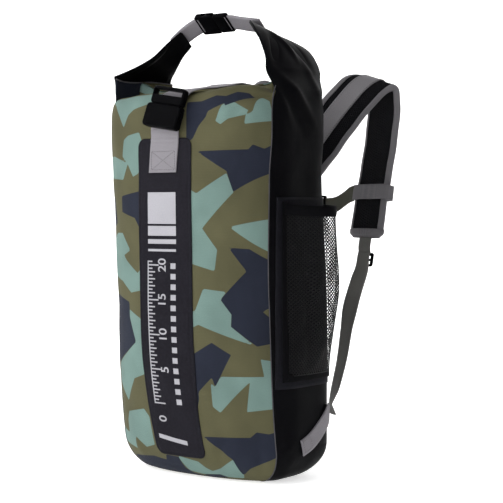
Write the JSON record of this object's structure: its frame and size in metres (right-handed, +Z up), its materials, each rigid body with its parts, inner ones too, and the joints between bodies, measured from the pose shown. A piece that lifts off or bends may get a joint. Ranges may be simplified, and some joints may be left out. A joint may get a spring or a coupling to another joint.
{
  "type": "dry backpack",
  "caption": "Roll-top dry backpack with a camouflage front, rolled mouth buckled into a carry loop, padded shoulder straps, sternum strap and mesh side pockets.",
  "frame": {"origin": "centre of the flat base, on the floor it stands on", "axes": "+Z up, -Y the front with the patch, +X the wearer's right side"},
  "size_m": [0.378, 0.4405, 0.6848],
  "materials": {
    "camo_fabric": "matte woven nylon, splinter pattern",
    "coated_fabric": "satin coated fabric",
    "patch_fabric": "matte coated fabric",
    "grey_webbing": "woven nylon webbing",
    "dark_webbing": "woven nylon webbing",
    "mesh_fabric": "open knitted mesh",
    "foam_padding": "foam covered in spacer mesh",
    "buckle_plastic": "moulded acetal",
    "board_plastic": "flat sheet"
  },
  "bodies": {
    "bag": {"front_panel": "camo_fabric", "back_panel": "coated_fabric", "left_side_panel": "coated_fabric", "right_side_panel": "coated_fabric", "base_panel": "coated_fabric", "rolled_mouth": "camo_fabric", "mouth_stiffener": "board_plastic", "front_patch": "patch_fabric", "front_webbing": "grey_webbing", "front_strap": "grey_webbing", "front_buckle_socket": "buckle_plastic", "back_board": "board_plastic", "left_back_pad": "foam_padding", "right_back_pad": "foam_padding", "strap_yoke": "foam_padding", "left_pocket_backing": "coated_fabric", "right_pocket_backing": "coated_fabric", "left_pocket_mesh": "mesh_fabric", "right_pocket_mesh": "mesh_fabric", "left_pocket_hem": "coated_fabric", "right_pocket_hem": "coated_fabric", "left_anchor_tab": "grey_webbing", "right_anchor_tab": "grey_webbing"},
    "front_plug": {"front_buckle_plug": "buckle_plastic"},
    "front_left_prong": {"front_buckle_left_prong": "buckle_plastic"},
    "front_right_prong": {"front_buckle_right_prong": "buckle_plastic"},
    "carry_loop": {"left_horn": "coated_fabric", "right_horn": "coated_fabric", "left_loop_webbing": "grey_webbing", "loop_buckle_socket": "buckle_plastic"},
    "loop_plug": {"loop_buckle_plug": "buckle_plastic", "right_loop_webbing": "grey_webbing"},
    "loop_rear_prong": {"loop_buckle_rear_prong": "buckle_plastic"},
    "loop_front_prong": {"loop_buckle_front_prong": "buckle_plastic"},
    "left_strap": {"left_shoulder_pad": "foam_padding", "left_strap_webbing": "grey_webbing", "left_lock_webbing": "dark_webbing", "left_lower_webbing": "dark_webbing"},
    "right_strap": {"right_shoulder_pad": "foam_padding", "right_strap_webbing": "grey_webbing", "right_lock_webbing": "dark_webbing", "right_lower_webbing": "dark_webbing"},
    "left_lock": {"left_ladder_lock": "buckle_plastic"},
    "right_lock": {"right_ladder_lock": "buckle_plastic"},
    "left_slider": {"left_sternum_slider": "dark_webbing"},
    "right_slider": {"right_sternum_slider": "dark_webbing"},
    "sternum_strap": {"left_sternum_webbing": "dark_webbing", "sternum_buckle_socket": "buckle_plastic"},
    "sternum_plug": {"right_sternum_webbing": "dark_webbing", "sternum_buckle_plug": "buckle_plastic"},
    "sternum_upper_prong": {"sternum_upper_prong": "buckle_plastic"},
    "sternum_lower_prong": {"sternum_lower_prong": "buckle_plastic"}
  },
  "joints": [
    {"name": "front_plug_slide", "type": "slide", "parent": "bag", "child": "front_plug", "axis": [0.1518, 0.2419, 0.9583], "range_m": [0, 0.02]},
    {"name": "front_left_prong_press", "type": "hinge", "parent": "front_plug", "child": "front_left_prong", "pos_m": [-0.00817, -0.12303, 0.54224], "axis": [0.0378, -0.9703, 0.2389], "range_deg": [0, 8], "stiffness_Nm_per_rad": 0.05},
    {"name": "front_right_prong_press", "type": "hinge", "parent": "front_plug", "child": "front_right_prong", "pos_m": [0.03639, -0.12303, 0.53519], "axis": [0.0378, -0.9703, 0.2389], "range_deg": [-8, 0], "stiffness_Nm_per_rad": 0.05},
    {"name": "carry_loop_tilt", "type": "hinge", "parent": "bag", "child": "carry_loop", "pos_m": [0, 0.015, 0.592], "axis": [1, 0, 0], "range_deg": [-10, 10]},
    {"name": "loop_plug_slide", "type": "slide", "parent": "carry_loop", "child": "loop_plug", "axis": [1, 0, 0], "range_m": [0, 0.012]},
    {"name": "loop_rear_prong_press", "type": "hinge", "parent": "loop_plug", "child": "loop_rear_prong", "pos_m": [-0.002, 0.02199, 0.66281], "axis": [0, 0.6428, 0.766], "range_deg": [0, 8], "stiffness_Nm_per_rad": 0.02},
    {"name": "loop_front_prong_press", "type": "hinge", "parent": "loop_plug", "child": "loop_front_prong", "pos_m": [-0.002, 0.00379, 0.67808], "axis": [0, 0.6428, 0.766], "range_deg": [-8, 0], "stiffness_Nm_per_rad": 0.02},
    {"name": "left_strap_swing", "type": "hinge", "parent": "bag", "child": "left_strap", "pos_m": [-0.062, 0.106, 0.425], "axis": [0, 0.1285, 0.9917], "range_deg": [-8, 8]},
    {"name": "right_strap_swing", "type": "hinge", "parent": "bag", "child": "right_strap", "pos_m": [0.062, 0.106, 0.425], "axis": [0, 0.1285, 0.9917], "range_deg": [-8, 8]},
    {"name": "left_lock_tilt", "type": "hinge", "parent": "left_strap", "child": "left_lock", "pos_m": [-0.11, 0.2512, 0.322], "axis": [0.9794, 0.2019, 0], "range_deg": [0, 25]},
    {"name": "right_lock_tilt", "type": "hinge", "parent": "right_strap", "child": "right_lock", "pos_m": [0.11, 0.2512, 0.322], "axis": [0.9794, -0.2019, 0], "range_deg": [0, 25]},
    {"name": "left_slider_slide", "type": "slide", "parent": "left_strap", "child": "left_slider", "axis": [0, -0.2095, -0.9778], "range_m": [-0.015, 0.015]},
    {"name": "right_slider_slide", "type": "slide", "parent": "right_strap", "child": "right_slider", "axis": [0, -0.2095, -0.9778], "range_m": [-0.015, 0.015]},
    {"name": "sternum_strap_turn", "type": "hinge", "parent": "left_slider", "child": "sternum_strap", "pos_m": [-0.066, 0.283, 0.419], "axis": [0, 0.1285, 0.9917], "range_deg": [-8, 8]},
    {"name": "sternum_plug_slide", "type": "slide", "parent": "sternum_strap", "child": "sternum_plug", "axis": [1, 0, 0], "range_m": [0, 0.012]},
    {"name": "sternum_upper_prong_press", "type": "hinge", "parent": "sternum_plug", "child": "sternum_upper_prong", "pos_m": [-0.013, 0.2785, 0.41088], "axis": [0, -1, 0], "range_deg": [0, 8], "stiffness_Nm_per_rad": 0.02},
    {"name": "sternum_lower_prong_press", "type": "hinge", "parent": "sternum_plug", "child": "sternum_lower_prong", "pos_m": [-0.013, 0.2785, 0.38712], "axis": [0, -1, 0], "range_deg": [-8, 0], "stiffness_Nm_per_rad": 0.02}
  ],
  "couplings": [
    {"joint": "front_right_prong_press", "follows": "front_left_prong_press", "ratio": -1},
    {"joint": "loop_front_prong_press", "follows": "loop_rear_prong_press", "ratio": -1},
    {"joint": "sternum_lower_prong_press", "follows": "sternum_upper_prong_press", "ratio": -1},
    {"joint": "right_strap_swing", "follows": "left_strap_swing", "ratio": 1},
    {"joint": "sternum_strap_turn", "follows": "left_strap_swing", "ratio": -1},
    {"joint": "right_slider_slide", "follows": "left_slider_slide", "ratio": 1}
  ]
}
